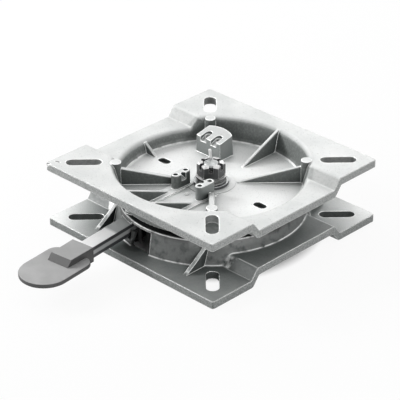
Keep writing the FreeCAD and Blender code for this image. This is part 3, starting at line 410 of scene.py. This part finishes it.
# bright split pin, its eye down in the nut's slot painted dark as shade
pinWire = {"light": (0.98, 0.98, 0.97), "dark": (0.88, 0.88, 0.88), "eye": (0.02, 0.02, 0.02), "eyeReach": 0.0106,
           "eyeSide": (0.7071, -0.7071, 0), "patchGrain": 200.0, "rough": 0.45, "metal": 0.2}


def splitPinWire():
    made, tree, shader = newMaterial("pinWire")
    colour = mixColours(tree, noiseMask(tree, pinWire["patchGrain"], 4), pinWire["light"], pinWire["dark"])
    along = addNode(tree, "ShaderNodeVectorMath", operation="DOT_PRODUCT")
    along.inputs[1].default_value = pinWire["eyeSide"]
    tree.links.new(ownPlace(tree), along.inputs[0])
    # painted shade on the eye
    eye = spanned(tree, along.outputs["Value"], pinWire["eyeReach"] - 1 * mm, pinWire["eyeReach"])
    finishMetal(tree, shader, mixColours(tree, eye, colour, pinWire["eye"]), pinWire)
    return made


# lever bar, white on top, with a painted shadow where it runs under the plate, dark sides as painted shade with one
# lighter band as a painted reflection, and darker along its edges
barChrome = {"light": (0.99, 0.99, 0.99), "dark": (0.96, 0.96, 0.96), "patchGrain": 60.0,
             "plateShadow": (0.40, 0.41, 0.41), "plateShadowFrom": -138 * mm, "plateShadowFade": 5 * mm,
             "flankShade": (0.05, 0.052, 0.055), "flankSpan": (0.35, 0.8),
             "reflectionBand": (0.42, 0.43, 0.43), "reflectionBandHeights": (23.5 * mm, 27.5 * mm, 1.2 * mm),
             "edge": (0.12, 0.12, 0.12), "edgeWidth": 0.6 * mm, "metal": 0.1,
             "roughGrain": 200.0, "roughSpan": (0.3, 0.34),
             "bumpGrain": 700.0, "bump": 0.02, "bumpDepth": 0.1 * mm, "rounding": 0.6 * mm}


def leverChrome():
    made, tree, shader = newMaterial("leverChrome")
    top = mixColours(tree, noiseMask(tree, barChrome["patchGrain"], 3), barChrome["light"], barChrome["dark"])
    split = addNode(tree, "ShaderNodeSeparateXYZ")
    tree.links.new(ownPlace(tree), split.inputs["Vector"])
    # painted shadow of the upper plate on the bar's inner part
    start = barChrome["plateShadowFrom"]
    inner = spanned(tree, split.outputs["Y"], start, start + barChrome["plateShadowFade"])
    top = mixColours(tree, inner, top, barChrome["plateShadow"])
    # painted shade on the sides, with one lighter band as a painted reflection
    side = mixColours(tree, bandMask(tree, *barChrome["reflectionBandHeights"]), barChrome["flankShade"], barChrome["reflectionBand"])
    colour = mixColours(tree, flankMask(tree, *barChrome["flankSpan"]), top, side)
    colour = mixColours(tree, edgeMask(tree, barChrome["edgeWidth"]), colour, barChrome["edge"])
    tree.links.new(colour, shader.inputs["Base Color"])
    shader.inputs["Metallic"].default_value = barChrome["metal"]
    varyRoughness(tree, shader, barChrome["roughGrain"], *barChrome["roughSpan"])
    addBump(tree, shader, barChrome["bumpGrain"], 2, barChrome["bump"], barChrome["bumpDepth"], barChrome["rounding"])
    return made


# plastics; the grip's upright faces darker as painted shade
gripPlastic = {"light": (0.40, 0.40, 0.40), "dark": (0.34, 0.34, 0.34), "flankShade": (0.065, 0.065, 0.065),
               "flankSpan": (0.72, 0.98), "rough": 0.5, "bump": 0.12, "bumpGrain": 2600.0}
nylon = {"light": (0.86, 0.85, 0.80), "dark": (0.78, 0.77, 0.71), "rough": 0.55, "bump": 0.05, "bumpGrain": 900.0}
mouldedSkin = {"patchGrain": 40.0, "roughGrain": 500.0, "smoother": 0.05, "rougher": 0.07, "bumpDepth": 0.2 * mm}


def plainPlastic(name, look):
    made, tree, shader = newMaterial(name)
    colour = mixColours(tree, noiseMask(tree, mouldedSkin["patchGrain"], 3), look["light"], look["dark"])
    # painted shade on upright faces
    if "flankShade" in look:
        colour = mixColours(tree, flankMask(tree, *look["flankSpan"]), colour, look["flankShade"])
    tree.links.new(colour, shader.inputs["Base Color"])
    varyRoughness(tree, shader, mouldedSkin["roughGrain"],
                  look["rough"] - mouldedSkin["smoother"], look["rough"] + mouldedSkin["rougher"])
    addBump(tree, shader, look["bumpGrain"], 2, look["bump"], mouldedSkin["bumpDepth"])
    return made


# by material slot, and then the nodes with a finish of their own
finishes = {
    "cast_aluminium": castAluminium("castAluminium", upperCasting),
    "zinc_plate": plainMetal("zincPlate", zincPlate),
    "dark_steel": plainMetal("nutSteel", nutSteel),
    "hard_steel": plainMetal("groundSteel", groundSteel),
    "grey_plastic": plainPlastic("gripPlastic", gripPlastic),
    "white_nylon": plainPlastic("nylon", nylon),
    "bronze": plainMetal("bronze", bronze),
}
ownFinish = {
    "lower_casting": castAluminium("castAluminiumLower", shadedLowerCasting),
    "split_pin": splitPinWire(),
    "lever_bar": leverChrome(),
}
# oiled steel, made near black so that it also paints the shade inside the drum
oiledShadedFinish = plainMetal("oiledSteel", oiledSteel)
for name in ("lever_stop_pin", "spring_anchor_pin", "lever_pivot_bolt", "return_spring", "keeper_washer",
             "lever_washer"):
    ownFinish[name] = oiledShadedFinish
print("finishes made:", len(finishes) + len(set(ownFinish.values())))


def finishOf(name):
    if name in ownFinish:
        return ownFinish[name]
    return finishes[slotOf[name]]


smoothing = {"angle": 32.0, "merge": 0.002 * mm}


def smoothCopy(name, node):
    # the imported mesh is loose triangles, so a joined copy with soft curves stands for it
    bpy.ops.object.select_all(action="DESELECT")
    node.select_set(True)
    bpy.context.view_layer.objects.active = node
    bpy.ops.object.duplicate()
    piece = bpy.context.object
    piece.name = name + "_smooth"
    del piece["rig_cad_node"]
    bpy.ops.object.parent_clear(type="CLEAR_KEEP_TRANSFORM")
    bpy.ops.mesh.customdata_custom_splitnormals_clear()
    bpy.ops.object.mode_set(mode="EDIT")
    bpy.ops.mesh.select_all(action="SELECT")
    bpy.ops.mesh.remove_doubles(threshold=smoothing["merge"])
    bpy.ops.mesh.normals_make_consistent(inside=False)
    bpy.ops.object.mode_set(mode="OBJECT")
    bpy.ops.object.shade_smooth_by_angle(angle=math.radians(smoothing["angle"]))
    bpy.ops.object.modifier_add(type="WEIGHTED_NORMAL")
    piece.modifiers[-1].keep_sharp = True
    bpy.ops.object.modifier_apply(modifier=piece.modifiers[-1].name)
    piece.data.materials.clear()
    piece.data.materials.append(finishOf(name))
    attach(piece, bodyOf[name])
    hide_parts(name)


for name, node in nodes.items():
    node.data.materials.clear()
    node.data.materials.append(finishOf(name))
    smoothCopy(name, node)
print("nodes finished:", len(nodes))


def finishCastDetail(piece):
    # a small piece of the upper casting, its place kept in its mesh
    bpy.ops.object.transform_apply(location=True, rotation=True, scale=True)
    bpy.ops.object.shade_smooth()
    piece.data.materials.append(finishes["cast_aluminium"])
    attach(piece, "turntable")


# what remains of a thread in the two deep holes of the large block
threads = {"places": [(-0.05995, 0.0566), (-0.04255, 0.0566)], "top": 0.0757, "pitch": 1.25 * mm, "turns": 6,
           "radius": 3.5 * mm, "wire": 0.3 * mm, "steps": 40, "wireSteps": 8}


def threadPiece(number, place):
    bpy.ops.object.select_all(action="DESELECT")
    bpy.ops.mesh.primitive_torus_add(major_radius=threads["radius"], minor_radius=threads["wire"],
                                     major_segments=threads["steps"], minor_segments=threads["wireSteps"],
                                     location=(*place, threads["top"]))
    piece = bpy.context.object
    piece.name = "threadTurns" + str(number)
    bpy.ops.object.modifier_add(type="ARRAY")
    rows = piece.modifiers[-1]
    rows.use_relative_offset = False
    rows.use_constant_offset = True
    rows.constant_offset_displace = (0, 0, -threads["pitch"])
    rows.count = threads["turns"]
    bpy.ops.object.modifier_apply(modifier=rows.name)
    finishCastDetail(piece)


for number, place in enumerate(threads["places"]):
    threadPiece(number, place)
print("threads made:", len(threads["places"]))


# the small ring with a dot that an ejector pin leaves on the dish floor
mouldMark = {"place": (-0.0004, -0.0411, 0.0563), "radius": 2.2 * mm, "wire": 0.5 * mm, "dot": 0.9 * mm,
             "stretch": 1.2, "steps": 40, "wireSteps": 10, "dotSteps": 20, "dotRings": 12}


def mouldMarkPiece():
    bpy.ops.object.select_all(action="DESELECT")
    bpy.ops.mesh.primitive_torus_add(major_radius=mouldMark["radius"], minor_radius=mouldMark["wire"],
                                     major_segments=mouldMark["steps"], minor_segments=mouldMark["wireSteps"],
                                     location=mouldMark["place"])
    piece = bpy.context.object
    piece.name = "mouldMark"
    bpy.ops.object.mode_set(mode="EDIT")
    bpy.ops.mesh.primitive_uv_sphere_add(segments=mouldMark["dotSteps"], ring_count=mouldMark["dotRings"],
                                         radius=mouldMark["dot"], location=mouldMark["place"])
    bpy.ops.mesh.select_all(action="SELECT")
    bpy.ops.transform.resize(value=(1, 1, mouldMark["stretch"]))
    bpy.ops.object.mode_set(mode="OBJECT")
    finishCastDetail(piece)


mouldMarkPiece()
print("mould mark made")


# floor and world: plain and pale where they are seen, weak where they light the object
room = {"floorSize": 8.0, "floorColour": (0.88, 0.88, 0.88), "floorRough": 0.9, "floorGlow": 0.92,
        "darkRadius": 0.12, "darkFade": 0.02, "white": 1.0, "fill": 0.15}


def cleanRays(tree):
    # 1 for what the camera, a reflection or a clear view sees of the background
    path = addNode(tree, "ShaderNodeLightPath")
    first = addNode(tree, "ShaderNodeMath", operation="MAXIMUM")
    second = addNode(tree, "ShaderNodeMath", operation="MAXIMUM")
    tree.links.new(path.outputs["Is Camera Ray"], first.inputs[0])
    tree.links.new(path.outputs["Is Glossy Ray"], first.inputs[1])
    tree.links.new(first.outputs["Value"], second.inputs[0])
    tree.links.new(path.outputs["Is Transmission Ray"], second.inputs[1])
    return second.outputs["Value"]


def makeWorld():
    world = bpy.data.worlds.new("studio")
    world.use_nodes = True
    tree = world.node_tree
    background = tree.nodes["Background"]
    background.inputs["Color"].default_value = (1, 1, 1, 1)
    tree.links.new(ramped(tree, cleanRays(tree), room["fill"], room["white"]), background.inputs["Strength"])
    bpy.context.scene.world = world


def makeFloor():
    bpy.ops.object.select_all(action="DESELECT")
    bpy.ops.mesh.primitive_plane_add(size=room["floorSize"], location=(0, 0, 0))
    floor = bpy.context.object
    floor.name = "studioFloor"
    made, tree, shader = newMaterial("studioFloor")
    shader.inputs["Base Color"].default_value = (*room["floorColour"], 1)
    shader.inputs["Roughness"].default_value = room["floorRough"]
    glow = addNode(tree, "ShaderNodeEmission")
    glow.inputs["Strength"].default_value = 1.0
    # no glow under the object, so that its openings stay dark
    distance = addNode(tree, "ShaderNodeVectorMath", operation="LENGTH")
    tree.links.new(ownPlace(tree), distance.inputs[0])
    start = room["darkRadius"]
    around = spanned(tree, distance.outputs["Value"], start, start + room["darkFade"])
    share = product(tree, cleanRays(tree), ramped(tree, around, 0.0, room["floorGlow"]))
    mix = addNode(tree, "ShaderNodeMixShader")
    tree.links.new(share, mix.inputs["Fac"])
    tree.links.new(shader.outputs["BSDF"], mix.inputs[1])
    tree.links.new(glow.outputs["Emission"], mix.inputs[2])
    tree.links.new(mix.outputs["Shader"], tree.nodes["Material Output"].inputs["Surface"])
    floor.data.materials.append(made)


lamps = {
    "overheadLamp": {"place": (-0.35, 0.2, 1.25), "size": 1.1, "power": 4.2},
    "leftLamp": {"place": (-1.92, -0.88, 1.15), "size": 0.64, "power": 27.0},
    "leftBackLamp": {"place": (-2.0, 0.48, 1.28), "size": 0.8, "power": 12.5},
    "backLamp": {"place": (-0.7, 1.3, 0.7), "size": 0.6, "power": 4.2},
    "rightBackLamp": {"place": (0.9, 1.1, 0.8), "size": 0.6, "power": 4.2},
    "rightLamp": {"place": (1.35, -0.5, 0.55), "size": 0.8, "power": 7.0},
    "lowLamp": {"place": (-0.95, -0.8, 0.42), "size": 0.25, "power": 5.0},
}
lampTarget = (0, 0, 0.05)


def makeLamp(name, place, size, power):
    bpy.ops.object.light_add(type="AREA", location=place)
    light = bpy.context.object
    light.name = name
    light.data.shape = "SQUARE"
    light.data.size = size
    light.data.energy = power
    toward = Vector(lampTarget) - light.location
    light.rotation_euler = toward.to_track_quat("-Z", "Y").to_euler()


# angles in degrees, lens and sensor in millimetres, the rest in metres
view = {"azimuth": 45.15, "elevation": 29.16, "roll": -0.64, "distance": 2.2894,
        "target": (0.00346, -0.02281, 0.042), "lens": 172.03, "sensor": 36.0, "farthest": 50.0}


def makeCamera():
    turn, lift, roll = (math.radians(view[angle]) for angle in ("azimuth", "elevation", "roll"))
    right = Vector((math.cos(turn), math.sin(turn), 0))
    back = Vector((math.sin(turn) * math.cos(lift), -math.cos(turn) * math.cos(lift), math.sin(lift)))
    upward = back.cross(right)
    rolledRight = right * math.cos(roll) + upward * math.sin(roll)
    rolledUp = upward * math.cos(roll) - right * math.sin(roll)
    bpy.ops.object.camera_add()
    camera = bpy.context.object
    camera.name = "photoCamera"
    camera.data.lens = view["lens"]
    camera.data.sensor_width = view["sensor"]
    camera.data.clip_end = view["farthest"]
    turned = Matrix((rolledRight, rolledUp, back)).transposed()
    camera.matrix_world = Matrix.Translation(Vector(view["target"]) + back * view["distance"]) @ turned.to_4x4()
    bpy.context.scene.camera = camera


makeWorld()
makeFloor()
for name, lamp in lamps.items():
    makeLamp(name, lamp["place"], lamp["size"], lamp["power"])
makeCamera()
bpy.context.scene.view_settings.view_transform = "Standard"
print("floor, lamps and camera set")
